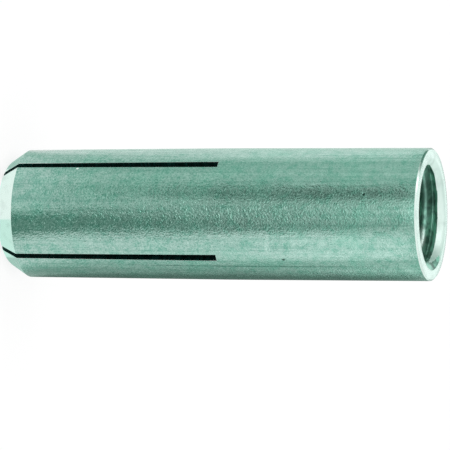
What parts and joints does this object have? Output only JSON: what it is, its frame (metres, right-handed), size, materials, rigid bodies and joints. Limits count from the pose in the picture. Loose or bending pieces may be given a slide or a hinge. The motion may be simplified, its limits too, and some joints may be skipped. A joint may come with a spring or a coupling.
{
  "type": "drop-in anchor",
  "caption": "Internally threaded expansion sleeve with a chamfered, slotted nose and a wedge plug inside; set flush in a drilled hole to take a bolt.",
  "frame": {"origin": "centre of the nose's end face, which the anchor stands on", "axes": "+Z along the axis from the nose to the threaded mouth; the slots lie on the X and Y axes"},
  "size_m": [0.012, 0.012, 0.04],
  "materials": {
    "zinc_plate": "satin zinc plate with a cool green tint and fine drawing grain",
    "plug_steel": "plain turned steel, lightly oiled"
  },
  "bodies": {
    "root": {"anchor_sleeve": "zinc_plate", "expander_plug": "plug_steel"}
  },
  "joints": []
}
